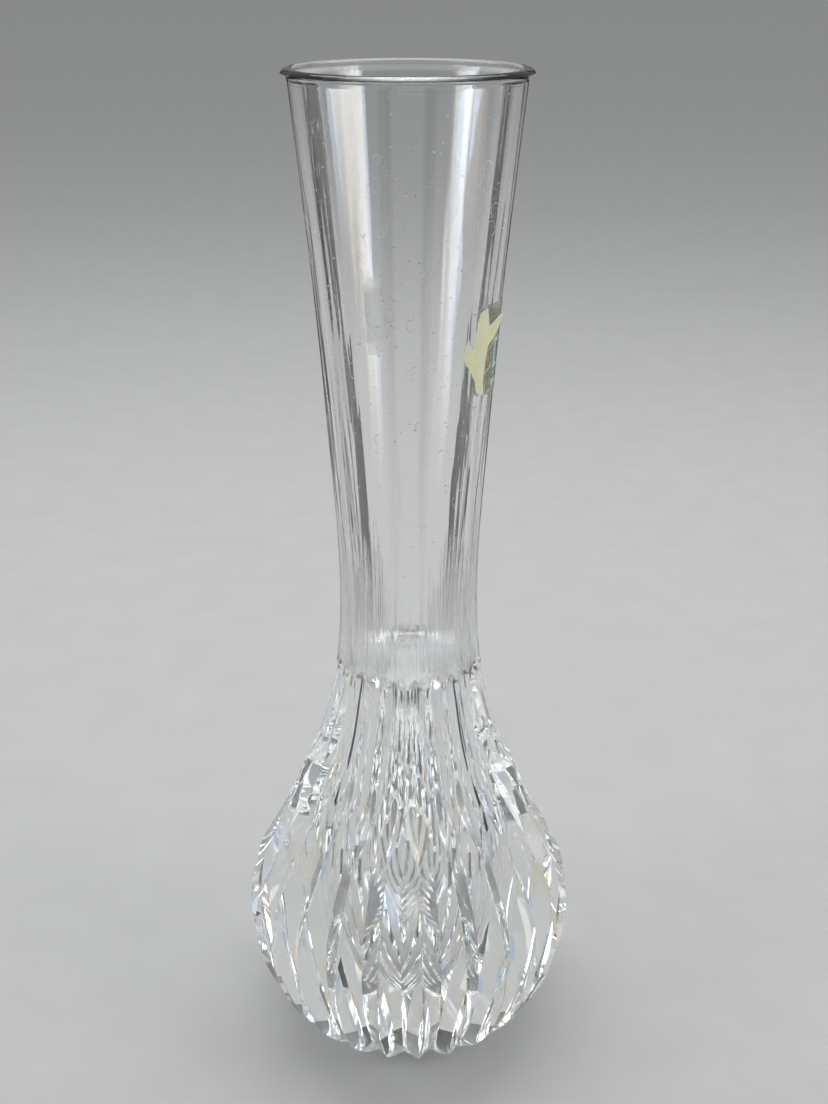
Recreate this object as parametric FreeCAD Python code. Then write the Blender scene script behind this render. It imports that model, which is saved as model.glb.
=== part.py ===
"""Cut-crystal bud vase: a tall flared stem on a heavy round base, with two tiers of V cuts.

Millimetres. +Z is up and the origin is the middle of the flat face that the vase stands on.
The vase is one piece of glass. It is blown as a smooth blank, then two tiers of upright V
grooves are cut into the lower half, the lower tier set half a pitch round from the upper one.
What is left of a torn paper label with a foil face is still stuck to the stem.
"""
import FreeCAD, Part
import math
import os
from FreeCAD import Vector

# Blank: the bulb is half an ellipse below its widest line and a flatter one above it.
BULB_RADIUS = 35.3
BULB_WIDEST_HEIGHT = 28.8
BULB_UPPER_RISE = 31.5           # from the widest line up to where that ellipse would close
BULB_LOWER_DROP = 36.0           # and down to where the other would
BULB_TOP_ANGLE = 33              # degrees above the widest line, where the shoulder starts
# Shoulder, neck and stem as (radius, height), from the shoulder up to the flare of the lip.
STEM_OUTSIDE = [(23.2, 60.0), (17.3, 75.0), (14.4, 91.0), (13.9, 107.0), (15.2, 130.0),
                (17.1, 156.0), (19.1, 178.0), (21.45, 200.8)]
LIP_RADIUS = 22.6
LIP_WALL = 2.5
LIP_RISE = 0.85                  # how far the rounded top of the lip rises over its edges
LIP_FLARE = 0.25                 # how far the flare under the lip sags inward from a straight line
TOTAL_HEIGHT = 203.0

# Inside of the vase as (radius, height), from just above its floor up to the flare of the lip.
CAVITY_FLOOR = 14.0
CAVITY_WALL = [(11.2, 16.0), (17.0, 22.8), (19.8, 34.0), (18.2, 50.0), (13.8, 66.0), (11.2, 81.0),
               (10.1, 102.0), (12.0, 130.0), (14.6, 156.0), (16.9, 178.0), (19.3, 200.4)]

# Cuts: every groove has the same V section, and its bottom line follows the blank.
CUTS = 24
FIRST_RIDGE_ANGLE = 4.8          # degrees round from the front, of one ridge of the lower tier
GROOVE_HALF_ANGLE = 54.0         # degrees from the middle plane of a V to its side
RIDGE_HEIGHT = 0.99              # ridge radius over blank radius, where neighbouring cuts meet
UPPER_TIP = 89.3                 # upper tier: groove tips, and where the grooves touch each other
UPPER_MEET = 86.0
LOWER_TIP = 61.5                 # lower tier, in the same way
LOWER_MEET = 50.7
OVERRUN = 3.0                    # how far a cut runs on past the surface at its ends
CUTTER_DEPTH = 12.0              # how far a cutter stands out past the bulb
CUTTER_SIDE = 10.0               # half the length along which each side of a cutter is drawn out

# Sticker: what is left of a rectangular label. Its right part still has the foil face, the face is
# torn off its left part down to the cream paper, and a film of glue shows where the paper is gone.
# Outlines are drawn flat, square to the direction the label faces, as (across, height).
LABEL_ANGLE = 65.0               # degrees round from the front towards +X
LABEL_BAND = (144.0, 163.0)      # heights between which all of it lies
GLUE_THICKNESS = 0.06
PAPER_THICKNESS = 0.12
FOIL_THICKNESS = 0.16
GLUE_OUTLINE = [(-5.6, 147.0), (-4.4, 146.0), (9.0, 145.1), (9.6, 162.0), (-4.6, 162.4), (-5.9, 161.4)]
PAPER_OUTLINE = [(-4.4, 146.4), (-2.2, 145.6), (-2.7, 149.5), (-2.5, 152.0), (-2.1, 154.9),
                 (-0.3, 156.0), (3.5, 158.0), (5.2, 159.6), (2.0, 159.8), (-2.2, 158.8), (-3.0, 161.5),
                 (-4.2, 162.6), (-5.5, 161.8), (-5.9, 159.8), (-6.2, 157.4), (-6.3, 154.9),
                 (-8.0, 157.4), (-8.5, 154.0), (-7.6, 152.4), (-6.4, 151.0), (-5.2, 148.8)]
FOIL_OUTLINE = [(-2.0, 145.6), (8.6, 145.3), (9.0, 158.6), (6.2, 158.8), (4.0, 157.6), (-0.1, 155.4),
                (-1.8, 154.4), (-2.2, 152.0), (-2.4, 149.5)]

HALF_PITCH = math.radians(180.0 / CUTS)
HALF_ANGLE = math.radians(GROOVE_HALF_ANGLE)
# Groove-bottom radius over ridge radius, for V grooves that meet in a ridge.
VALLEY_RATIO = math.cos(HALF_PITCH) - math.sin(HALF_PITCH) / math.tan(HALF_ANGLE)


def at(radius, height):
    """A point in the section plane of the revolved outline."""
    return Vector(radius, 0, height)


def spline(points):
    """A smooth curve through the points."""
    curve = Part.BSplineCurve()
    curve.interpolate(points)
    return curve


def parameter_at(curve, height):
    """Where a curve that climbs all the way reaches a height."""
    low, high = curve.FirstParameter, curve.LastParameter
    for _ in range(50):
        middle = (low + high) / 2
        if curve.value(middle).z < height:
            low = middle
        else:
            high = middle
    return low


def outside_curve():
    """Outside of the blank from below the foot to the lip's flare: the bulb runs into the stem."""
    bulb = []
    for degrees in range(BULB_TOP_ANGLE - 105, BULB_TOP_ANGLE + 1, 15):
        angle = math.radians(degrees)
        rise = BULB_UPPER_RISE if degrees > 0 else BULB_LOWER_DROP
        bulb.append(at(BULB_RADIUS * math.cos(angle), BULB_WIDEST_HEIGHT + rise * math.sin(angle)))
    return spline(bulb + [at(r, z) for r, z in STEM_OUTSIDE])


def inside_curve():
    """Wall of the cavity: drawn from wall to wall so that its floor is level at the axis, then halved."""
    floor = at(0, CAVITY_FLOOR)
    wall = [at(r, z) for r, z in CAVITY_WALL]
    mirrored = [at(-r, z) for r, z in reversed(CAVITY_WALL)]
    curve = spline(mirrored + [floor] + wall)
    curve.segment(curve.parameter(floor), curve.LastParameter)
    return curve


OUTSIDE = outside_curve()
LIP_HEIGHT = TOTAL_HEIGHT - LIP_RISE


def blank_radius(height):
    """Outside radius of the smooth blank at a height."""
    return OUTSIDE.value(parameter_at(OUTSIDE, height)).x


def flare(start, end):
    """A hollow arc that opens the wall out into the lip."""
    middle = (start + end) * 0.5
    return Part.Arc(start, middle - Vector(LIP_FLARE, 0, 0), end).toShape()


def blank():
    """The blown vase before it is cut: outline and cavity turned about Z."""
    outside = OUTSIDE.copy()
    outside.segment(parameter_at(outside, 0), outside.LastParameter)
    inside = inside_curve()
    foot, shoulder_of_lip = outside.StartPoint, outside.EndPoint
    floor, throat = inside.StartPoint, inside.EndPoint
    lip_outer, lip_inner = at(LIP_RADIUS, LIP_HEIGHT), at(LIP_RADIUS - LIP_WALL, LIP_HEIGHT)
    lip = Part.Arc(lip_outer, at(LIP_RADIUS - LIP_WALL / 2, TOTAL_HEIGHT), lip_inner)
    edges = [Part.makeLine(at(0, 0), foot), outside.toShape(), flare(shoulder_of_lip, lip_outer),
             lip.toShape(), flare(throat, lip_inner), inside.toShape(), Part.makeLine(floor, at(0, 0))]
    section = Part.Face(Part.Wire(Part.__sortEdges__(edges)))
    return section.revolve(Vector(0, 0, 0), Vector(0, 0, 1), 360)


def valley(height):
    """Groove-bottom radius where neighbouring grooves meet in a ridge."""
    return RIDGE_HEIGHT * VALLEY_RATIO * blank_radius(height)


def run_on(inner, end):
    """A point past the end of a cut, in line with its last stretch."""
    return end + (end - inner).normalize() * OVERRUN


def upper_valley():
    """Bottom line of an upper groove, from the bulb up to its tip on the neck."""
    meet = at(VALLEY_RATIO * blank_radius(UPPER_MEET), UPPER_MEET)
    tip = at(blank_radius(UPPER_TIP), UPPER_TIP)
    foot = at(RIDGE_HEIGHT * blank_radius(LOWER_MEET), LOWER_MEET)
    middle = [at(valley(z), z) for z in (62.5, 72.0, 80.0)]
    points = [foot] + middle + [meet, tip]
    return [run_on(points[1], foot)] + points + [run_on(meet, tip)]


def lower_valley():
    """Bottom line of a lower groove, from below the foot up to its tip on the shoulder."""
    steps = 8
    rise = (LOWER_MEET + OVERRUN) / steps
    heights = [-OVERRUN + i * rise for i in range(steps + 1)]
    points = [at(valley(z), z) for z in heights]
    tip = at(RIDGE_HEIGHT * blank_radius(LOWER_TIP), LOWER_TIP)
    return points + [tip, run_on(points[-1], tip)]


def groove_cutter(points):
    """A V-shaped cutter facing +X whose bottom line runs through the points.

    The space outside the line is drawn out along each side of the V, and the two overlap in the V.
    """
    far = BULB_RADIUS + CUTTER_DEPTH
    bottom, top = points[0], points[-1]
    outer_bottom, outer_top = at(far, bottom.z), at(far, top.z)
    edges = [spline(points).toShape(), Part.makeLine(top, outer_top), Part.makeLine(outer_top, outer_bottom),
             Part.makeLine(outer_bottom, bottom)]
    outside = Part.Face(Part.Wire(edges))
    sides = []
    for sign in (1, -1):
        reach = Vector(math.cos(HALF_ANGLE), sign * math.sin(HALF_ANGLE), 0) * CUTTER_SIDE
        prism = outside.extrude(reach * 2)
        prism.translate(-reach)
        sides.append(prism)
    return sides[0].common(sides[1])


def round_the_vase(shape, ridge_offset):
    """Copies of a cutter all the way round; the front of the vase is -Y."""
    copies = []
    for i in range(CUTS):
        copy = shape.copy()
        angle = -90 + FIRST_RIDGE_ANGLE + (i + ridge_offset) * 360.0 / CUTS
        copy.rotate(Vector(0, 0, 0), Vector(0, 0, 1), angle)
        copies.append(copy)
    return copies


def vase_body():
    """The blank with both tiers of grooves; a lower groove lies half a pitch from an upper one."""
    cutters = round_the_vase(groove_cutter(upper_valley()), 0.0)
    cutters += round_the_vase(groove_cutter(lower_valley()), 0.5)
    return blank().cut(cutters)


def stem_skin(inner_gap, outer_gap):
    """A thin layer that follows the outside of the stem over the sticker's height."""
    low, high = LABEL_BAND
    heights = [low + i * (high - low) / 4 for i in range(5)]
    inner = [at(blank_radius(z) + inner_gap, z) for z in heights]
    outer = [at(blank_radius(z) + outer_gap, z) for z in heights]
    edges = [spline(inner).toShape(), Part.makeLine(inner[-1], outer[-1]), spline(outer).toShape(),
             Part.makeLine(outer[0], inner[0])]
    section = Part.Face(Part.Wire(Part.__sortEdges__(edges)))
    return section.revolve(Vector(0, 0, 0), Vector(0, 0, 1), 360)


def sticker_layer(outline, inner_gap, outer_gap):
    """One layer of the sticker: the stem's skin inside a torn outline."""
    loop = [Vector(0, y, z) for y, z in outline]
    column = Part.Face(Part.makePolygon(loop + [loop[0]])).extrude(Vector(2 * LIP_RADIUS, 0, 0))
    column.rotate(Vector(0, 0, 0), Vector(0, 0, 1), -90 + LABEL_ANGLE)
    return stem_skin(inner_gap, outer_gap).common(column)


PARTS = {
    "vase_body": vase_body(),
    "label_glue": sticker_layer(GLUE_OUTLINE, 0, GLUE_THICKNESS),
    "label_paper": sticker_layer(PAPER_OUTLINE, GLUE_THICKNESS, GLUE_THICKNESS + PAPER_THICKNESS),
    "label_foil": sticker_layer(FOIL_OUTLINE, GLUE_THICKNESS, GLUE_THICKNESS + FOIL_THICKNESS),
}

os.makedirs("parts", exist_ok=True)
for name, shape in PARTS.items():
    print(name, "valid", shape.isValid(), "solids", len(shape.Solids), "volume mm3", round(shape.Volume, 1))
    shape.exportStep(f"parts/{name}.step")
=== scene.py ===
"""Looks of the cut-crystal bud vase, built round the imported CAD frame.

Metres, +Z up, the origin in the middle of the foot, the front of the vase towards -Y.
Angles round the vase are counted from the front towards +X.
"""
import math
import random

import bpy
import numpy as np
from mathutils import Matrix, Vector
from mathutils.geometry import delaunay_2d_cdt


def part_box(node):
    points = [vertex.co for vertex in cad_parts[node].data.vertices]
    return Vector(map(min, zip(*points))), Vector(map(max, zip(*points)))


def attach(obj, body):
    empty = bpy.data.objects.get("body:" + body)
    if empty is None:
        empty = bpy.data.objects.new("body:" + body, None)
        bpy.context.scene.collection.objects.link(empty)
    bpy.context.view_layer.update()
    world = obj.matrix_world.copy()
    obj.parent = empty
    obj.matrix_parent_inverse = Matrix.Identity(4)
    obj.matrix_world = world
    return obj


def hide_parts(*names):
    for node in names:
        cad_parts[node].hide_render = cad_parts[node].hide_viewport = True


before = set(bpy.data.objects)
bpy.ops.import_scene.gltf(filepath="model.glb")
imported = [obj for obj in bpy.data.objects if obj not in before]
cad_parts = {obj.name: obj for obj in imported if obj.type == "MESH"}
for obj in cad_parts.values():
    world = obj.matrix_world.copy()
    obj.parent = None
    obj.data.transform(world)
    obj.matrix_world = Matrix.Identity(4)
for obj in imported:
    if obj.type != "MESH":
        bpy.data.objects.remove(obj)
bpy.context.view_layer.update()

# ---------------------------------------------------------------- measures shared with the CAD
BULB_RADIUS = 0.0353
BULB_WIDEST_HEIGHT = 0.0288
BULB_UPPER_RISE = 0.0315
BULB_LOWER_DROP = 0.0360
BULB_TOP_ANGLE = 33              # degrees above the bulb's widest line
BULB_ARC, BULB_STEP = 105, 15    # degrees that the bulb's points cover, and from one to the next
STEM_OUTSIDE = [(0.0232, 0.060), (0.0173, 0.075), (0.0144, 0.091), (0.0139, 0.107), (0.0152, 0.130),
                (0.0171, 0.156), (0.0191, 0.178), (0.02145, 0.2008)]
LIP_RADIUS = 0.0226
LIP_WALL = 0.0025
LIP_RISE = 0.00085
LIP_FLARE = 0.00025
CAVITY_FLOOR = 0.014
CAVITY_WALL = [(0.0112, 0.016), (0.0170, 0.0228), (0.0198, 0.034), (0.0182, 0.050), (0.0138, 0.066),
               (0.0112, 0.081), (0.0101, 0.102), (0.0120, 0.130), (0.0146, 0.156), (0.0169, 0.178),
               (0.0193, 0.2004)]
CUTS = 24
FIRST_RIDGE_ANGLE = math.radians(4.8)
GROOVE_HALF_ANGLE = math.radians(54.0)
RIDGE_HEIGHT = 0.99
UPPER_TIP = 0.0893
UPPER_MEET = 0.0860
LOWER_TIP = 0.0615
LOWER_MEET = 0.0507
OVERRUN = 0.003
UPPER_VALLEY_HEIGHTS = (LOWER_TIP + 0.001, 0.072, 0.080)
LOWER_VALLEY_POINTS = 9
LABEL_ANGLE = math.radians(65.0)
GLUE_OUTLINE = [(-5.6, 147.0), (-4.4, 146.0), (9.0, 145.1), (9.6, 162.0), (-4.6, 162.4), (-5.9, 161.4)]
PAPER_OUTLINE = [(-4.4, 146.4), (-2.2, 145.6), (-2.7, 149.5), (-2.5, 152.0), (-2.1, 154.9),
                 (-0.3, 156.0), (3.5, 158.0), (5.2, 159.6), (2.0, 159.8), (-2.2, 158.8), (-3.0, 161.5),
                 (-4.2, 162.6), (-5.5, 161.8), (-5.9, 159.8), (-6.2, 157.4), (-6.3, 154.9),
                 (-8.0, 157.4), (-8.5, 154.0), (-7.6, 152.4), (-6.4, 151.0), (-5.2, 148.8)]
FOIL_OUTLINE = [(-2.0, 145.6), (8.6, 145.3), (9.0, 158.6), (6.2, 158.8), (4.0, 157.6), (-0.1, 155.4),
                (-1.8, 154.4), (-2.2, 152.0), (-2.4, 149.5)]

HALF_PITCH = math.pi / CUTS
COT = 1 / math.tan(GROOVE_HALF_ANGLE)
VALLEY_RATIO = math.cos(HALF_PITCH) - math.sin(HALF_PITCH) * COT
TOTAL_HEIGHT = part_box("vase_body")[1].z

# ---------------------------------------------------------------- how finely the glass is meshed
COLUMNS = 8                      # columns across half a groove
STEM_COLUMNS = 96
CUT_ROW = 0.0007
STEM_ROW = 0.0025
STEM_START = 0.0015              # from the last row of the cuts to the first of the stem
FLOOR_ROW = 0.0012
FLOOR_SPAN = 0.045               # length of the cavity's wall, from the axis, that has the finer rows
LIP_POINTS, FLARE_POINTS = 13, 8
CUT_TOP = 0.0915                 # where the grooved mesh hands over to the plain stem
RIDGE_FLAT = 0.0026              # share of a ridge's radius that polishing has worn off its edge
FLAT_FADE = 0.003
FOOT_BEVEL = 0.0003
SHARP_ANGLE = math.radians(24)

# ---------------------------------------------------------------- label and marks
MM = 0.001
TEAR_STEP = 0.35                 # millimetres between points along a torn edge
TEAR_BULGE = 0.10                # how far a torn side bows, over its length
SHEET_GRID = 0.0006
TORN_BAND = 0.00022              # how far in from a tear its white fibres show
PANEL = (1.3, 6.6, 150.1, 155.7)         # printed shapes: left, right, bottom and top, in millimetres
PANEL_INSET = (2.2, 3.6, 151.0, 154.8)
MINT_BAR = (0.9, 6.2, 146.6, 147.9)
GOLD_TICKS = [((-1.4, 154.6), (0.9, 155.9)), ((-2.2, 149.7), (0.4, 151.0)), ((1.2, 149.0), (6.8, 149.2))]
PAPER_TIPS = [(-8.0, 157.4), (-4.4, 162.6), (5.2, 159.6)]
CURL = 0.0004
CURL_REACH = 0.0026
CREASE = 0.00001
CREASE_ACROSS, CREASE_UP, CREASE_WANDER = 2100, 1300, 900   # radians a metre
SHEETS = {                       # outline, roughness of the tear in mm, height above the glass, thickness,
                                 # and seed
    "glue": (GLUE_OUTLINE, 0.05, 0.00002, 0.00003, 5),
    "foil": (FOIL_OUTLINE, 0.05, 0.00007, 0.00004, 7),
    "paper": (PAPER_OUTLINE, 0.09, 0.00014, 0.00008, 9)}
MARK_SEED = 7
RINGS, SCRATCHES, SPECKS = 64, 80, 1200
MARK_HEIGHTS = (0.095, 0.2015, 0.185)   # lowest, highest and commonest
MARK_LIFT = 0.00001
MARK_THICK = 0.00001
RING_WIDTH = 0.00008
RING_SIZES = (0.0006, 0.0013)    # smallest and largest radius
RING_TURNS = (0.35, 0.55, 0.8, 1.0)
SCRATCH_LENGTHS = (0.0004, 0.0018)
SPECK_SIZES = (0.00005, 0.00007, 0.00009, 0.00016)
INSIDE_SHARE = 0.3               # of the marks, how many are on the inner wall

# ---------------------------------------------------------------- finish, stage, lights and camera
CRYSTAL_IOR = 1.545
CRYSTAL_COLOUR = (0.84, 0.93, 0.90, 1)   # what is left of white light, as deep as density says
CRYSTAL_DENSITY = 3.0
STREAK_DEPTH = 0.00025
# painted dispersion fringes: colours painted into the glass beside its ridges in place of split light
PAINTED_FRINGE_BLUE = (0.55, 0.74, 1.0)
PAINTED_FRINGE_AMBER = (1.0, 0.84, 0.56)
STRIP_BLUE = (0.34, 0.58, 1.0)
STRIP_AMBER = (1.0, 0.70, 0.36)
FLOOR_REACH = 60.0
FLOOR_GAP = 0.0001
FLOOR_DARK = (0.54, 0.54, 0.535)
FLOOR_LIGHT = (0.60, 0.60, 0.595)
TOP_PLACE, TOP_SIZE = (0.0, 0.22, 0.75), (0.8, 0.5)
TOP_POWER = 3.0
STRIP_AZIMUTH = 67.5             # degrees from the front, on both sides, of strips and fills
STRIP_PLACE, STRIP_SIZE = (0.40, 0.20), (0.20, 0.40)   # distance from the axis and height; width and height
STRIP_POWER = 2.2
FILL_PLACE, FILL_SIZE = (1.6, 0.9), (0.8, 1.2)
FILL_POWER = 6.0
LIGHT_COLOURS = {"left": (0.95, 0.98, 1.0), "right": (1.0, 0.97, 0.93)}
CARD_FOOT = (0.12, 0.001)        # distance from the axis and height, of a leaning card's two ends
CARD_TOP = (0.40, 0.33)
CARD_HALF_WIDTHS = (0.012, 0.030)        # at those two ends
CARD_AZIMUTHS = (-157.5, -112.5, -22.5, 22.5, 112.5, 157.5)
SKY_LOW, SKY_HIGH = 0.24, 0.55
CAMERA_DISTANCE = 0.2686
CAMERA_HEIGHT = 0.2227
CAMERA_SIDE = 0.0011
CAMERA_PITCH = math.radians(22.7)
CAMERA_LENS = 47.3               # millimetres, on a 36 mm sensor
CAMERA_SENSOR = 36


# ---------------------------------------------------------------- outline curves
def spline(points, count=1500):
    """Points along a natural cubic spline, spaced by chord length like the CAD's curves."""
    p = np.array(points, float)
    t = np.concatenate([[0], np.cumsum(np.linalg.norm(np.diff(p, axis=0), axis=1))])
    h = np.diff(t)
    n = len(p)
    a = np.eye(n)
    b = np.zeros_like(p)
    for i in range(1, n - 1):
        a[i, i - 1:i + 2] = h[i - 1], 2 * (h[i - 1] + h[i]), h[i]
        b[i] = 6 * ((p[i + 1] - p[i]) / h[i] - (p[i] - p[i - 1]) / h[i - 1])
    bend = np.linalg.solve(a, b)
    s = np.linspace(0, t[-1], count)
    k = np.clip(np.searchsorted(t, s, side="right") - 1, 0, n - 2)
    u, v = ((t[k + 1] - s) / h[k])[:, None], ((s - t[k]) / h[k])[:, None]
    step = (h[k] ** 2)[:, None] / 6
    return u * p[k] + v * p[k + 1] + step * ((u ** 3 - u) * bend[k] + (v ** 3 - v) * bend[k + 1])


def bulb_points():
    """Outline of the bulb: an ellipse above its widest line and a taller one below."""
    points = []
    for degrees in range(BULB_TOP_ANGLE - BULB_ARC, BULB_TOP_ANGLE + 1, BULB_STEP):
        angle = math.radians(degrees)
        rise = BULB_UPPER_RISE if degrees > 0 else BULB_LOWER_DROP
        points.append((BULB_RADIUS * math.cos(angle), BULB_WIDEST_HEIGHT + rise * math.sin(angle)))
    return points


def cavity_points():
    """The cavity's wall from its floor up to the throat, level at the axis like the CAD's curve."""
    mirrored = [(-r, z) for r, z in reversed(CAVITY_WALL)]
    across = spline(mirrored + [(0, CAVITY_FLOOR)] + CAVITY_WALL, 20001)
    return across[across[:, 0] > 0]


OUTSIDE = spline(bulb_points() + STEM_OUTSIDE)
INSIDE = cavity_points()


def blank_radius(z):
    """Outside radius of the smooth blank at a height."""
    return float(np.interp(z, OUTSIDE[:, 1], OUTSIDE[:, 0]))


def wall_radius(z):
    """Inside radius of the stem at a height."""
    return float(np.interp(z, INSIDE[:, 1], INSIDE[:, 0]))


def valley(z):
    """Radius of a full-depth groove's bottom at a height."""
    return RIDGE_HEIGHT * VALLEY_RATIO * blank_radius(z)


def run_on(inner, end):
    """A point past the end of a cut, in line with its last stretch."""
    inner, end = np.array(inner), np.array(end)
    return tuple(end + (end - inner) / np.linalg.norm(end - inner) * OVERRUN)


def upper_valley():
    """Bottom line of an upper groove as (radius, height), upwards."""
    meet = (VALLEY_RATIO * blank_radius(UPPER_MEET), UPPER_MEET)
    tip = (blank_radius(UPPER_TIP), UPPER_TIP)
    foot = (RIDGE_HEIGHT * blank_radius(LOWER_MEET), LOWER_MEET)
    points = [foot] + [(valley(z), z) for z in UPPER_VALLEY_HEIGHTS] + [meet, tip]
    return spline([run_on(points[1], foot)] + points + [run_on(meet, tip)])


def lower_valley():
    """Bottom line of a lower groove as (radius, height), upwards."""
    points = [(valley(z), z) for z in np.linspace(-OVERRUN, LOWER_MEET, LOWER_VALLEY_POINTS)]
    tip = (RIDGE_HEIGHT * blank_radius(LOWER_TIP), LOWER_TIP)
    return spline(points + [tip, run_on(points[-1], tip)])


UPPER_VALLEY = upper_valley()
LOWER_VALLEY = lower_valley()
CLEAR = 1.0                      # a groove-bottom radius that cuts nothing


def groove_bottom(curve, z):
    """Radius of a groove's bottom line at a height, and CLEAR where it has ended."""
    return float(np.interp(z, curve[:, 1], curve[:, 0], left=CLEAR, right=CLEAR))


# ---------------------------------------------------------------- the cut surface, one row at a time
def flank_radius(bottom, offset):
    """Radius of a groove's side at an angle from the groove's middle."""
    return bottom / (math.cos(offset) - math.sin(offset) * COT)


def flank_angle(bottom, radius):
    """Angle from the groove's middle at which its side reaches a radius."""
    if bottom >= radius:
        return 0.0
    return math.acos(bottom / (radius * math.hypot(1, COT))) - math.atan(COT)


def ridge_cap(z, upper, lower):
    """Radius that nothing stands above: the blank, or the worn top of a ridge."""
    worn = RIDGE_FLAT * min(1.0, max(0.0, (UPPER_MEET - z) / FLAT_FADE))
    return min(blank_radius(z), (1 - worn) * min(upper, lower) / VALLEY_RATIO)


def crossing(upper, lower):
    """Angle at which the side of an upper groove meets the side of the lower groove beside it."""
    low, high = 0.0, HALF_PITCH
    for _ in range(40):
        middle = (low + high) / 2
        if flank_radius(upper, middle) < flank_radius(lower, HALF_PITCH - middle):
            low = middle
        else:
            high = middle
    return low


def edges_in_row(z):
    """The cap radius, both groove bottoms, and the angles of the sharp edges in half a pitch."""
    upper, lower = groove_bottom(UPPER_VALLEY, z), groove_bottom(LOWER_VALLEY, z)
    cap = ridge_cap(z, upper, lower)
    end_upper = min(flank_angle(upper, cap), HALF_PITCH)
    start_lower = max(HALF_PITCH - flank_angle(lower, cap), 0.0)
    if end_upper <= start_lower:
        breaks = [a for a in (end_upper, start_lower) if 0 < a < HALF_PITCH]
    else:
        breaks = [crossing(upper, lower)]
    return cap, upper, lower, breaks


def half_row(z):
    """Offsets and radii across half a pitch, from an upper groove's middle to a lower one's."""
    cap, upper, lower, breaks = edges_in_row(z)
    offsets = [HALF_PITCH * j / COLUMNS for j in range(COLUMNS + 1)]
    on_edge = [False] * (COLUMNS + 1)
    taken = 0
    for angle in sorted(breaks):
        j = min(max(round(angle / HALF_PITCH * COLUMNS), taken + 1), COLUMNS - 1)
        offsets[j], on_edge[j], taken = angle, True, j
    radii = []
    for offset in offsets:
        sides = [cap, flank_radius(upper, offset), flank_radius(lower, HALF_PITCH - offset)]
        radii.append(min(sides))
    return offsets, radii, on_edge


def cut_row(z, inset=0.0, height=None):
    """One closed row of the grooved part: points, and which of them lie on an edge."""
    offsets, radii, on_edge = half_row(z)
    level = z if height is None else height
    points, flags = [], []
    for half in range(2 * CUTS):
        for j in range(COLUMNS):
            k = j if half % 2 == 0 else COLUMNS - j
            turn = offsets[k] if half % 2 == 0 else HALF_PITCH - offsets[k]
            angle = FIRST_RIDGE_ANGLE + half * HALF_PITCH + turn
            radius = radii[k] - inset
            points.append((radius * math.sin(angle), -radius * math.cos(angle), level))
            flags.append(on_edge[k])
    return points, flags


def round_row(radius, z):
    """One closed row of the plain part."""
    angles = [FIRST_RIDGE_ANGLE + 2 * math.pi * k / STEM_COLUMNS for k in range(STEM_COLUMNS)]
    return [(radius * math.sin(a), -radius * math.cos(a), z) for a in angles]


# ---------------------------------------------------------------- mesh helpers
def new_object(name, vertices, faces, material):
    mesh = bpy.data.meshes.new(name)
    mesh.from_pydata([tuple(v) for v in vertices], [], faces)
    mesh.validate()
    mesh.update()
    mesh.polygons.foreach_set("use_smooth", [True] * len(mesh.polygons))
    mesh.set_sharp_from_angle(angle=SHARP_ANGLE)
    mesh.materials.append(material)
    obj = bpy.data.objects.new(name, mesh)
    bpy.context.scene.collection.objects.link(obj)
    return obj


def join_cut_rows(low, high, low_flags, high_flags, low_start, high_start):
    """Faces between two grooved rows; where an edge changes column, the split follows it."""
    count = len(low)
    faces = []
    for j in range(count):
        k = (j + 1) % count
        a, b, c, d = low_start + j, low_start + k, high_start + k, high_start + j
        if low_flags[j] and high_flags[k]:
            faces += [(a, b, c), (a, c, d)]
        elif low_flags[k] and high_flags[j]:
            faces += [(a, b, d), (b, c, d)]
        else:
            faces.append((a, b, c, d))
    return faces


def join_round_rows(low_start, high_start):
    """Faces between two plain rows."""
    faces = []
    for j in range(STEM_COLUMNS):
        k = (j + 1) % STEM_COLUMNS
        faces.append((low_start + j, low_start + k, high_start + k, high_start + j))
    return faces


def hand_over(fine_start, coarse_start):
    """Faces between the fine last row of the cuts and the coarser first row of the stem."""
    ratio = 2 * CUTS * COLUMNS // STEM_COLUMNS
    middle = ratio // 2
    faces = []
    for k in range(STEM_COLUMNS):
        fine = [fine_start + (k * ratio + i) % (2 * CUTS * COLUMNS) for i in range(ratio + 1)]
        here, beyond = coarse_start + k, coarse_start + (k + 1) % STEM_COLUMNS
        faces += [(fine[i], fine[i + 1], here) for i in range(middle)]
        faces += [(fine[i], fine[i + 1], beyond) for i in range(middle, ratio)]
        faces.append((fine[middle], beyond, here))
    return faces


def arc(start, end, sag, count):
    """Points on a shallow arc from start to end that sags inward by sag, ends included."""
    start, end = np.array(start), np.array(end)
    u = np.linspace(0, 1, count)[:, None]
    return start + (end - start) * u - np.array([sag, 0]) * 4 * u * (1 - u)


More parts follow.
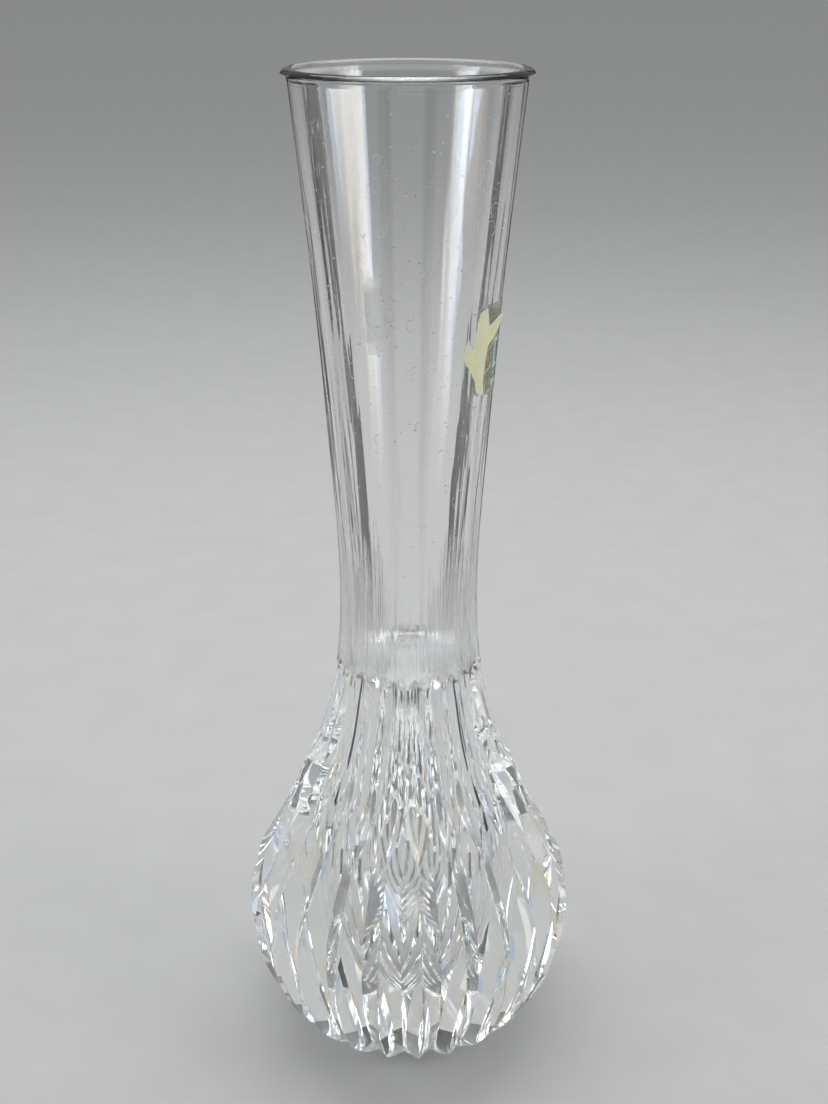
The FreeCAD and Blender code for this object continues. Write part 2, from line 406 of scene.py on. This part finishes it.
def plain_outline():
    """Outline of everything above the cuts, over the lip and down the cavity to its floor."""
    heights = np.arange(CUT_TOP + STEM_START, STEM_OUTSIDE[-1][1], STEM_ROW)
    stem = [(blank_radius(z), z) for z in heights]
    lip_height = TOTAL_HEIGHT - LIP_RISE
    half = LIP_WALL / 2
    outer = (LIP_RADIUS, lip_height)
    inner = (LIP_RADIUS - LIP_WALL, lip_height)
    bow = (half ** 2 + LIP_RISE ** 2) / (2 * LIP_RISE)
    end = math.asin(half / bow)
    lip = [(LIP_RADIUS - half + bow * math.sin(a), TOTAL_HEIGHT - bow + bow * math.cos(a))
           for a in np.linspace(end, -end, LIP_POINTS)]
    length = np.concatenate([[0], np.cumsum(np.linalg.norm(np.diff(INSIDE, axis=0), axis=1))])
    wanted = np.concatenate([np.arange(FLOOR_ROW, FLOOR_SPAN, FLOOR_ROW),
                             np.arange(FLOOR_SPAN, length[-1], STEM_ROW)])
    wall = np.stack([np.interp(wanted, length, INSIDE[:, i]) for i in (0, 1)], axis=1)
    flare_out = arc(STEM_OUTSIDE[-1], outer, LIP_FLARE, FLARE_POINTS)[:-1]
    flare_in = arc(inner, CAVITY_WALL[-1], LIP_FLARE, FLARE_POINTS)[1:]
    return np.concatenate([stem, flare_out, lip, flare_in, wall[::-1]])


def glass_body(material):
    """The whole vase as one closed skin: foot, cuts, stem, lip and cavity."""
    heights = np.concatenate([np.arange(FOOT_BEVEL, CUT_TOP, CUT_ROW),
                              [LOWER_MEET, LOWER_TIP, UPPER_MEET, UPPER_TIP, CUT_TOP]])
    heights = np.unique(np.round(heights, 6))
    rows = [cut_row(FOOT_BEVEL, FOOT_BEVEL, 0.0)] + [cut_row(z) for z in heights]
    vertices = [(0, 0, 0)]
    width = 2 * CUTS * COLUMNS
    for points, _ in rows:
        vertices += points
    faces = [(0, 1 + (j + 1) % width, 1 + j) for j in range(width)]
    for i in range(len(rows) - 1):
        start = 1 + i * width
        faces += join_cut_rows(rows[i][0], rows[i + 1][0], rows[i][1], rows[i + 1][1], start, start + width)
    fine_start = 1 + (len(rows) - 1) * width
    start = len(vertices)
    faces += hand_over(fine_start, start)
    outline = plain_outline()
    for radius, z in outline:
        vertices += round_row(radius, z)
    for i in range(len(outline) - 1):
        faces += join_round_rows(start + i * STEM_COLUMNS, start + (i + 1) * STEM_COLUMNS)
    last = start + (len(outline) - 1) * STEM_COLUMNS
    vertices.append((0, 0, CAVITY_FLOOR))
    pole = len(vertices) - 1
    faces += [(last + j, last + (j + 1) % STEM_COLUMNS, pole) for j in range(STEM_COLUMNS)]
    return new_object("crystal_vase", vertices, faces, material)


# ---------------------------------------------------------------- label and water marks, laid on the stem
def on_stem(angle, across, height, lift, radius_at=blank_radius):
    """A point laid on the stem: across is measured square to the direction that angle faces."""
    radius = radius_at(height) + lift
    turn = angle + math.asin(max(-1.0, min(1.0, across / radius)))
    return (radius * math.sin(turn), -radius * math.cos(turn), height)


def torn(outline, rough, rng):
    """An outline in metres with its sides broken up as torn paper is."""
    points = []
    for (x0, z0), (x1, z1) in zip(outline, outline[1:] + outline[:1]):
        length = math.hypot(x1 - x0, z1 - z0)
        steps = max(1, round(length / TEAR_STEP))
        bulge = rng.uniform(-0.5, 0.5) * TEAR_BULGE * length
        for i in range(steps):
            t = i / steps
            out = bulge * math.sin(math.pi * t) + rng.uniform(-rough, rough)
            x = x0 + (x1 - x0) * t + (z1 - z0) / length * out
            z = z0 + (z1 - z0) * t - (x1 - x0) / length * out
            points.append(Vector((x * MM, z * MM)))
    return points


def inside_points(outline, gap, rng):
    """Points spread over the inside of an outline, clear of its edge."""
    xs, zs = [p.x for p in outline], [p.y for p in outline]
    points = []
    for x in np.arange(min(xs), max(xs), gap):
        for z in np.arange(min(zs), max(zs), gap):
            p = Vector((x + rng.uniform(-0.3, 0.3) * gap, z + rng.uniform(-0.3, 0.3) * gap))
            crossings = 0
            for a, b in zip(outline, outline[1:] + outline[:1]):
                if (a.y > p.y) != (b.y > p.y) and p.x < a.x + (b.x - a.x) * (p.y - a.y) / (b.y - a.y):
                    crossings += 1
            if crossings % 2 and min((p - q).length for q in outline) > gap * 0.6:
                points.append(p)
    return points


def label_sheet(name, layer_name, material, tips=()):
    """A torn sheet on the stem: closed, with a rough edge and with the tips given curling off."""
    outline, rough, low, thick, seed = SHEETS[layer_name]
    rng = random.Random(seed)
    edge = torn(outline, rough, rng)
    loop = edge + inside_points(edge, SHEET_GRID, rng)
    flat, _, triangles, _, _, _ = delaunay_2d_cdt(loop, [], [list(range(len(edge)))], 1, 1e-9)
    count = len(flat)
    vertices, whiteness = [], []
    for layer in (thick, 0.0):
        for p in flat:
            curl = sum(max(0.0, 1 - (p - Vector(tip) * MM).length / CURL_REACH) ** 2 for tip in tips) * CURL
            wander = 1.3 * math.sin(p.y * CREASE_WANDER)
            crease = CREASE * math.sin(p.x * CREASE_ACROSS + wander) * math.sin(p.y * CREASE_UP)
            vertices.append(on_stem(LABEL_ANGLE, p.x, p.y, low + layer + curl + crease))
            away = min((p - q).length for q in edge)
            whiteness.append(max(0.0, 1 - away / TORN_BAND))
    faces = [tuple(t) for t in triangles]
    sides = {(t[i], t[(i + 1) % 3]) for t in faces for i in range(3)}
    rim = [(a, b) for a, b in sides if (b, a) not in sides]
    faces += [(t[2] + count, t[1] + count, t[0] + count) for t in faces]
    faces += [(b, a, a + count, b + count) for a, b in sorted(rim)]
    sheet = new_object(name, vertices, faces, material)
    sheet.data.attributes.new("torn", "FLOAT", "POINT").data.foreach_set("value", whiteness)
    return sheet


def mark_strip(vertices, faces, place, path, widths, closed):
    """A flat closed strip of dried scale along a path of (across, up) points."""
    start, count = len(vertices), len(path)
    for i in range(count):
        before = path[i - 1] if closed or i else path[i]
        after = path[(i + 1) % count] if closed or i < count - 1 else path[i]
        along = np.array(after) - np.array(before)
        side = np.array([-along[1], along[0]]) / np.linalg.norm(along) * widths[i] / 2
        for out, lift in ((side, MARK_LIFT), (-side, MARK_LIFT), (-side, MARK_LIFT + MARK_THICK),
                          (side, MARK_LIFT + MARK_THICK)):
            vertices.append(place(path[i][0] + out[0], path[i][1] + out[1], lift))
    for i in range(count if closed else count - 1):
        a, b = start + 4 * i, start + 4 * ((i + 1) % count)
        faces += [(a + k, a + (k + 1) % 4, b + (k + 1) % 4, b + k) for k in range(4)]
    if not closed:
        last = start + 4 * (count - 1)
        faces += [(start + 3, start + 2, start + 1, start), (last, last + 1, last + 2, last + 3)]


def drop_ring(vertices, faces, place, rng):
    """What a drop leaves when it dries: a thin uneven ring, mostly broken."""
    size = rng.uniform(*RING_SIZES)
    bumps = [(n, rng.uniform(0, 0.16 / n), rng.uniform(0, 2 * math.pi)) for n in (2, 3, 5, 7)]
    start, turns = rng.uniform(0, 2 * math.pi), rng.choice(RING_TURNS)
    count = 32
    path, widths = [], []
    for i in range(count):
        angle = start + 2 * math.pi * turns * i / (count if turns == 1.0 else count - 1)
        radius = size * (1 + sum(depth * math.sin(n * angle + phase) for n, depth, phase in bumps))
        path.append((radius * math.cos(angle), 1.15 * radius * math.sin(angle)))
        widths.append(rng.uniform(0.5, 1.5) * RING_WIDTH)
    mark_strip(vertices, faces, place, path, widths, turns == 1.0)


def scratch(vertices, faces, place, rng):
    """A short fine line, a little bent."""
    lean, length = rng.uniform(-0.5, 0.5), rng.uniform(*SCRATCH_LENGTHS)
    bend = rng.uniform(-0.15, 0.15)
    path = [(length * (t * math.sin(lean) + bend * t * (1 - t)), length * t * math.cos(lean))
            for t in np.linspace(0, 1, 6)]
    mark_strip(vertices, faces, place, path, [RING_WIDTH * w for w in (0.4, 0.9, 1, 1, 0.8, 0.3)], False)


def speck(vertices, faces, place, rng):
    """A flat crumb of dust or scale."""
    size = rng.choice(SPECK_SIZES)
    path = [(-size, 0), (0, size * rng.uniform(-0.5, 0.5)), (size, 0)]
    mark_strip(vertices, faces, place, path, [size * w for w in (0.8, rng.uniform(1.4, 2.2), 0.8)], False)


def water_marks(material):
    """Dried drops, dust and fine scratches on the stem, inside and out."""
    rng = random.Random(MARK_SEED)
    vertices, faces = [], []
    kinds = [drop_ring] * RINGS + [scratch] * SCRATCHES + [speck] * SPECKS
    for kind in kinds:
        angle = rng.uniform(0, 2 * math.pi)
        height = rng.triangular(*MARK_HEIGHTS)
        inside = rng.random() < INSIDE_SHARE

        def place(across, up, lift):
            if inside:
                return on_stem(angle, across, height + up, -lift, wall_radius)
            return on_stem(angle, across, height + up, lift)

        kind(vertices, faces, place, rng)
    return new_object("dried_water_marks", vertices, faces, material)


# ---------------------------------------------------------------- materials
def new_material(name):
    material = bpy.data.materials.new(name)
    material.use_nodes = True
    tree = material.node_tree
    tree.nodes.clear()
    output = tree.nodes.new("ShaderNodeOutputMaterial")
    shader = tree.nodes.new("ShaderNodeBsdfPrincipled")
    tree.links.new(shader.outputs[0], output.inputs["Surface"])
    return material, tree, shader, output


def node(tree, kind, inputs=None, **settings):
    """A node with its settings; an input may be a value or another node's output."""
    made = tree.nodes.new(kind)
    for key, value in settings.items():
        setattr(made, key, value)
    for key, value in (inputs or {}).items():
        if isinstance(value, bpy.types.NodeSocket):
            tree.links.new(value, made.inputs[key])
        else:
            made.inputs[key].default_value = value
    return made


def maths(tree, operation, a, b=0.0, c=0.0):
    return node(tree, "ShaderNodeMath", {0: a, 1: b, 2: c}, operation=operation).outputs[0]


def ramp(tree, value, start, end, low=0.0, high=1.0):
    """low where value is at start, high where it is at end, and straight between."""
    return node(tree, "ShaderNodeMapRange", {"Value": value, "From Min": start, "From Max": end,
                                             "To Min": low, "To Max": high}, clamp=True).outputs[0]


def band(tree, value, centre, half_width, soft):
    """1 where value is within half_width of centre, fading out over soft."""
    away = maths(tree, "ABSOLUTE", maths(tree, "SUBTRACT", value, centre))
    return ramp(tree, away, half_width, half_width + soft, 1.0, 0.0)


def noise(tree, vector, scale, detail=2.0):
    return node(tree, "ShaderNodeTexNoise", {"Vector": vector, "Scale": scale, "Detail": detail}).outputs[0]


def blend(tree, factor, below, above):
    """The colour above laid over the colour below, as much as factor says."""
    colours = {}
    for key, colour in (("A", below), ("B", above)):
        colours[key] = colour if isinstance(colour, bpy.types.NodeSocket) else (*colour, 1.0)
    mix = node(tree, "ShaderNodeMix", data_type="RGBA")
    for key, value in {"Factor": factor, **colours}.items():
        kind = "VALUE" if key == "Factor" else "RGBA"
        socket = next(i for i in mix.inputs if i.name == key and i.type == kind)
        if isinstance(value, bpy.types.NodeSocket):
            tree.links.new(value, socket)
        else:
            socket.default_value = value
    return next(o for o in mix.outputs if o.type == "RGBA")


def place_on_part(tree):
    """The point's position on the part, whole and as x, y and z."""
    where = node(tree, "ShaderNodeTexCoord").outputs["Object"]
    return where, node(tree, "ShaderNodeSeparateXYZ", {"Vector": where}).outputs


def crystal_material():
    """Clear lead crystal: fire-polished streaks on the stem, and faint colour fringes painted along the cuts
    in place of the light that crystal splits.
    """
    material, tree, shader, output = new_material("lead_crystal")
    where, (x, y, z) = place_on_part(tree)
    angle = maths(tree, "ARCTAN2", x, maths(tree, "MULTIPLY", y, -1.0))
    # the glass's colour carries the painted dispersion fringes
    tree.links.new(painted_fringe_colour(tree, where, angle), shader.inputs["Base Color"])
    streaks = polish_streaks(tree, where, z)
    haze = ramp(tree, noise(tree, where, 45.0, 4.0), 0.52, 0.75, 0.0, 0.05)
    on_stem_only = ramp(tree, z, UPPER_TIP, UPPER_TIP + 0.02)
    tree.links.new(maths(tree, "MULTIPLY", haze, on_stem_only), shader.inputs["Roughness"])
    bump = node(tree, "ShaderNodeBump", {"Strength": 1.0, "Distance": STREAK_DEPTH, "Height": streaks})
    tree.links.new(bump.outputs[0], shader.inputs["Normal"])
    shader.inputs["IOR"].default_value = CRYSTAL_IOR
    shader.inputs["Transmission Weight"].default_value = 1.0
    depth = node(tree, "ShaderNodeVolumeAbsorption", {"Color": CRYSTAL_COLOUR, "Density": CRYSTAL_DENSITY})
    tree.links.new(depth.outputs[0], output.inputs["Volume"])
    return material


def painted_fringe_colour(tree, where, angle):
    """Painted dispersion: thin blue and amber bands painted into the glass's colour beside the ridges, in
    patches, where real crystal splits the light.
    """
    pitches = maths(tree, "MULTIPLY", maths(tree, "SUBTRACT", angle, FIRST_RIDGE_ANGLE), CUTS / (2 * math.pi))
    turn = maths(tree, "FRACT", maths(tree, "MULTIPLY", pitches, 2.0))
    patches = ramp(tree, noise(tree, where, 140.0, 1.0), 0.56, 0.62)
    others = ramp(tree, noise(tree, where, 170.0, 1.0), 0.44, 0.38)
    blue = maths(tree, "MULTIPLY", band(tree, turn, 0.10, 0.02, 0.12), patches)
    amber = maths(tree, "MULTIPLY", band(tree, turn, 0.90, 0.02, 0.12), others)
    height = node(tree, "ShaderNodeSeparateXYZ", {"Vector": where}).outputs[2]
    cut_zone = ramp(tree, height, UPPER_TIP, UPPER_MEET)
    tint = blend(tree, maths(tree, "MULTIPLY", blue, cut_zone), (1, 1, 1), PAINTED_FRINGE_BLUE)
    return blend(tree, maths(tree, "MULTIPLY", amber, cut_zone), tint, PAINTED_FRINGE_AMBER)


def polish_streaks(tree, where, z):
    """Upright streaks left by drawing and polishing the stem, strongest just above the cuts."""
    flat = node(tree, "ShaderNodeVectorMath", {0: where, 1: (1, 1, 0)}, operation="MULTIPLY").outputs[0]
    round_the_stem = node(tree, "ShaderNodeVectorMath", {0: flat}, operation="NORMALIZE").outputs[0]

    def drawn(across, along):
        stretch = {0: round_the_stem, "Scale": across}
        wide = node(tree, "ShaderNodeVectorMath", stretch, operation="SCALE").outputs[0]
        tall = node(tree, "ShaderNodeCombineXYZ", {2: maths(tree, "MULTIPLY", z, along)}).outputs[0]
        both = node(tree, "ShaderNodeVectorMath", {0: wide, 1: tall}, operation="ADD").outputs[0]
        return noise(tree, both, 1.0)

    near_cuts = ramp(tree, z, UPPER_TIP + 0.035, UPPER_TIP, 0.03, 0.5)
    above_cuts = ramp(tree, z, UPPER_TIP - 0.002, UPPER_TIP)
    total = maths(tree, "MULTIPLY_ADD", drawn(16.0, 14.0), near_cuts, drawn(3.0, 9.0))
    at_neck = ramp(tree, z, UPPER_TIP + 0.030, UPPER_TIP + 0.004, 0.0, 0.3)
    total = maths(tree, "ADD", total, maths(tree, "MULTIPLY", drawn(42.0, 10.0), at_neck))
    return maths(tree, "MULTIPLY", total, above_cuts)


def scale_material():
    """White lime scale and dust."""
    material, tree, shader, _ = new_material("lime_scale")
    where, _ = place_on_part(tree)
    cloud = ramp(tree, noise(tree, where, 1500.0), 0.3, 0.7)
    tree.links.new(blend(tree, cloud, (0.74, 0.77, 0.78), (0.95, 0.96, 0.96)), shader.inputs["Base Color"])
    tree.links.new(ramp(tree, cloud, 0.0, 1.0, 0.45, 0.75), shader.inputs["Roughness"])
    bump = node(tree, "ShaderNodeBump", {"Strength": 0.5, "Distance": 0.00002, "Height": cloud})
    tree.links.new(bump.outputs[0], shader.inputs["Normal"])
    return material


def across_label(tree, where):
    """How far a point lies across the label, as its outlines are drawn, in millimetres."""
    along = (math.cos(LABEL_ANGLE) / MM, math.sin(LABEL_ANGLE) / MM, 0)
    return node(tree, "ShaderNodeVectorMath", {0: where, 1: along}, operation="DOT_PRODUCT").outputs["Value"]


def paper_material():
    """Cream label paper torn down its thickness: white fibres along the tears, yellowed in places."""
    material, tree, shader, _ = new_material("torn_paper")
    where, _ = place_on_part(tree)
    fibres = noise(tree, where, 5200.0, 3.0)
    blotches = ramp(tree, noise(tree, where, 330.0, 3.0), 0.35, 0.65)
    across = across_label(tree, where)
    middle = band(tree, across, -3.4, 0.7, 1.6)
    colour = blend(tree, blotches, (0.86, 0.87, 0.44), (0.95, 0.94, 0.56))
    colour = blend(tree, maths(tree, "MULTIPLY", middle, 0.6), colour, (0.95, 0.93, 0.70))
    pale_fibres = maths(tree, "MULTIPLY", ramp(tree, fibres, 0.45, 0.7), 0.35)
    colour = blend(tree, pale_fibres, colour, (0.97, 0.97, 0.80))
    edge = node(tree, "ShaderNodeAttribute", attribute_name="torn").outputs["Fac"]
    colour = blend(tree, maths(tree, "MULTIPLY", edge, 0.85), colour, (0.96, 0.96, 0.86))
    tree.links.new(colour, shader.inputs["Base Color"])
    tree.links.new(ramp(tree, fibres, 0.3, 0.7, 0.72, 0.95), shader.inputs["Roughness"])
    bump = node(tree, "ShaderNodeBump", {"Strength": 0.7, "Distance": 0.00003, "Height": fibres})
    tree.links.new(bump.outputs[0], shader.inputs["Normal"])
    shader.inputs["Sheen Weight"].default_value = 0.25
    return material


def glue_material():
    """A thin film of old glue, olive-grey and a little cloudy."""
    material, tree, shader, _ = new_material("old_glue")
    where, _ = place_on_part(tree)
    cloud = ramp(tree, noise(tree, where, 900.0, 4.0), 0.35, 0.7)
    edge = node(tree, "ShaderNodeAttribute", attribute_name="torn").outputs["Fac"]
    colour = blend(tree, cloud, (0.72, 0.74, 0.50), (0.86, 0.86, 0.68))
    tree.links.new(blend(tree, edge, colour, (0.9, 0.9, 0.8)), shader.inputs["Base Color"])
    tree.links.new(ramp(tree, cloud, 0.0, 1.0, 0.25, 0.5), shader.inputs["Roughness"])
    bump = node(tree, "ShaderNodeBump", {"Strength": 0.6, "Distance": 0.00003, "Height": cloud})
    tree.links.new(bump.outputs[0], shader.inputs["Normal"])
    shader.inputs["IOR"].default_value = 1.45
    shader.inputs["Transmission Weight"].default_value = 1.0
    return material


def box_mask(tree, across, height, left, right, bottom, top, soft=0.12):
    """1 inside a printed rectangle, in millimetres."""
    wide = band(tree, across, (left + right) / 2, (right - left) / 2, soft)
    tall = band(tree, height, (bottom + top) / 2, (top - bottom) / 2, soft)
    return maths(tree, "MULTIPLY", wide, tall)


def stroke_mask(tree, across, height, start, end, width):
    """1 along a thin printed line from start to end, in millimetres."""
    slope = (end[1] - start[1]) / (end[0] - start[0])
    line = maths(tree, "MULTIPLY_ADD", across, slope, start[1] - slope * start[0])
    on_line = band(tree, maths(tree, "SUBTRACT", height, line), 0.0, width, 0.08)
    in_reach = band(tree, across, (start[0] + end[0]) / 2, (end[0] - start[0]) / 2, 0.1)
    return maths(tree, "MULTIPLY", on_line, in_reach)


def foil_material():
    """The printed face: olive border, dark green field, a pale shiny panel, a mint bar, gold ticks."""
    material, tree, shader, _ = new_material("printed_foil")
    where, (_, _, z) = place_on_part(tree)
    across = across_label(tree, where)
    height = maths(tree, "DIVIDE", z, MM)
    mottle = ramp(tree, noise(tree, where, 1400.0, 3.0), 0.3, 0.7)
    olive = blend(tree, mottle, (0.16, 0.16, 0.06), (0.34, 0.31, 0.15))
    field = blend(tree, mottle, (0.006, 0.045, 0.03), (0.03, 0.15, 0.10))
    colour = blend(tree, ramp(tree, across, 0.4, 0.9), olive, field)
    panel = box_mask(tree, across, height, *PANEL, 0.2)
    inset = box_mask(tree, across, height, *PANEL_INSET, 0.5)
    colour = blend(tree, panel, colour, (0.62, 0.90, 0.90))
    colour = blend(tree, inset, colour, (0.03, 0.10, 0.20))
    colour = blend(tree, box_mask(tree, across, height, *MINT_BAR), colour, (0.40, 0.70, 0.52))
    for start, end in GOLD_TICKS:
        colour = blend(tree, stroke_mask(tree, across, height, start, end, 0.12), colour, (0.80, 0.74, 0.36))
    edge = node(tree, "ShaderNodeAttribute", attribute_name="torn").outputs["Fac"]
    colour = blend(tree, maths(tree, "MULTIPLY", edge, 0.6), colour, (0.80, 0.80, 0.62))
    tree.links.new(colour, shader.inputs["Base Color"])
    tree.links.new(ramp(tree, mottle, 0.0, 1.0, 0.16, 0.34), shader.inputs["Roughness"])
    tree.links.new(maths(tree, "MULTIPLY", panel, 0.7), shader.inputs["Metallic"])
    creases = noise(tree, where, 420.0, 2.0)
    bump = node(tree, "ShaderNodeBump", {"Strength": 0.6, "Distance": 0.00012, "Height": creases})
    tree.links.new(bump.outputs[0], shader.inputs["Normal"])
    shader.inputs["Coat Weight"].default_value = 0.6
    return material


def floor_material():
    """A plain pale matt floor with a faint grain."""
    material, tree, shader, _ = new_material("pale_floor")
    where, _ = place_on_part(tree)
    grain = noise(tree, where, 60.0, 4.0)
    tree.links.new(blend(tree, grain, FLOOR_DARK, FLOOR_LIGHT), shader.inputs["Base Color"])
    tree.links.new(ramp(tree, grain, 0.3, 0.7, 0.70, 0.85), shader.inputs["Roughness"])
    shader.inputs["Specular IOR Level"].default_value = 0.0
    return material


# ---------------------------------------------------------------- stage, lights and camera
def build_floor():
    """A disc that reaches past the camera's horizon, a hair below the foot."""
    count = 96
    turns = [2 * math.pi * i / count for i in range(count)]
    ring = [(FLOOR_REACH * math.cos(a), FLOOR_REACH * math.sin(a), -FLOOR_GAP) for a in turns]
    floor = new_object("floor", ring, [tuple(range(count))], floor_material())


def around(azimuth, distance, height):
    """A point at an azimuth, in degrees from the front towards +X."""
    angle = math.radians(azimuth)
    return Vector((distance * math.sin(angle), -distance * math.cos(angle), height))


def area_light(name, place, target, size, power, colour=(1, 1, 1)):
    light = bpy.data.lights.new(name, "AREA")
    light.shape = "RECTANGLE"
    light.size, light.size_y = size
    light.energy = power
    light.color = colour
    lamp = bpy.data.objects.new(name, light)
    bpy.context.scene.collection.objects.link(lamp)
    lamp.location = place
    lamp.rotation_euler = (Vector(target) - Vector(place)).to_track_quat("-Z", "Y").to_euler()
    lamp.visible_camera = False
    return lamp


def fade_out(lamp):
    """A strip light fades to its back edge and the floor; its coloured edges give the cuts their fringes."""
    lamp.data.use_nodes = True
    tree = lamp.data.node_tree
    spot = node(tree, "ShaderNodeNewGeometry").outputs["Parametric"]
    u, v, _ = node(tree, "ShaderNodeSeparateXYZ", {0: spot}).outputs
    emission = next(n for n in tree.nodes if n.type == "EMISSION")
    across = ramp(tree, u, 1.0, 0.0, 0.15, 1.0)
    colour = blend(tree, ramp(tree, u, 0.16, 0.02), (1, 1, 1), STRIP_BLUE)
    colour = blend(tree, ramp(tree, u, 0.70, 0.95), colour, STRIP_AMBER)
    tree.links.new(colour, emission.inputs["Color"])
    tree.links.new(maths(tree, "MULTIPLY", across, ramp(tree, v, 0.0, 0.35)), emission.inputs["Strength"])


def build_lights():
    """A big soft light overhead, and each side a tall strip for the glass and a fill for the rest."""
    middle = (0, 0, TOTAL_HEIGHT / 2)
    area_light("soft_top", TOP_PLACE, middle, TOP_SIZE, TOP_POWER)
    for name, azimuth in (("left", -STRIP_AZIMUTH), ("right", STRIP_AZIMUTH)):
        colour = LIGHT_COLOURS[name]
        near, far = around(azimuth, *STRIP_PLACE), around(azimuth, *FILL_PLACE)
        strip = area_light(f"strip_{name}", near, middle, STRIP_SIZE, STRIP_POWER, colour)
        strip.visible_diffuse = False
        fade_out(strip)
        fill = area_light(f"fill_{name}", far, middle, FILL_SIZE, FILL_POWER, colour)
        fill.visible_glossy = False
        fill.visible_transmission = False
    world = bpy.data.worlds.new("studio")
    bpy.context.scene.world = world
    world.use_nodes = True
    tree = world.node_tree
    direction = node(tree, "ShaderNodeTexCoord").outputs["Generated"]
    up = node(tree, "ShaderNodeSeparateXYZ", {0: direction}).outputs[2]
    tree.links.new(ramp(tree, up, 0.1, 0.9, SKY_LOW, SKY_HIGH), tree.nodes["Background"].inputs["Strength"])
    tree.nodes["Background"].inputs["Color"].default_value = (0.96, 0.98, 1.0, 1)


def build_cards():
    """Narrow black leaning cards that only reflections and the glass show, to draw edges and facets."""
    material, tree, shader, _ = new_material("black_card")
    where, _ = place_on_part(tree)
    felt = blend(tree, noise(tree, where, 800.0), (0.008, 0.008, 0.009), (0.014, 0.014, 0.015))
    tree.links.new(felt, shader.inputs["Base Color"])
    for i, azimuth in enumerate(CARD_AZIMUTHS):
        low, high = around(azimuth, *CARD_FOOT), around(azimuth, *CARD_TOP)
        low_side, high_side = (around(azimuth + 90, half, 0.0) for half in CARD_HALF_WIDTHS)
        corners = [low - low_side, low + low_side, high + high_side, high - high_side]
        card = new_object(f"card_{i}", corners, [(0, 1, 2, 3)], material)
        card.visible_camera = False
        card.visible_diffuse = False
        card.visible_shadow = False


def build_camera():
    """The camera, in front of the vase and a little above it."""
    camera = bpy.data.cameras.new("camera")
    camera.lens = CAMERA_LENS
    camera.sensor_width = CAMERA_SENSOR
    camera.clip_start = 0.01
    camera.clip_end = 2 * FLOOR_REACH
    holder = bpy.data.objects.new("camera", camera)
    bpy.context.scene.collection.objects.link(holder)
    holder.location = (CAMERA_SIDE, -CAMERA_DISTANCE, CAMERA_HEIGHT)
    holder.rotation_euler = (math.pi / 2 - CAMERA_PITCH, 0, 0)
    bpy.context.scene.camera = holder


def put(piece, slot, *nodes):
    """Let a piece ride on the vase and stand for the CAD nodes given; its slot is not used."""
    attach(piece, "root")
    if nodes:
        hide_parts(*nodes)


build_camera()
build_floor()
build_lights()
build_cards()
put(glass_body(crystal_material()), "crystal", "vase_body")
put(label_sheet("label_glue_film", "glue", glue_material()), "label_glue", "label_glue")
put(label_sheet("label_foil_face", "foil", foil_material()), "label_foil", "label_foil")
put(label_sheet("label_torn_paper", "paper", paper_material(), PAPER_TIPS), "label_paper", "label_paper")
put(water_marks(scale_material()), "crystal")

scene = bpy.context.scene
scene.view_settings.view_transform = "Standard"
scene.cycles.max_bounces = 32
scene.cycles.transmission_bounces = 32
scene.cycles.glossy_bounces = 16
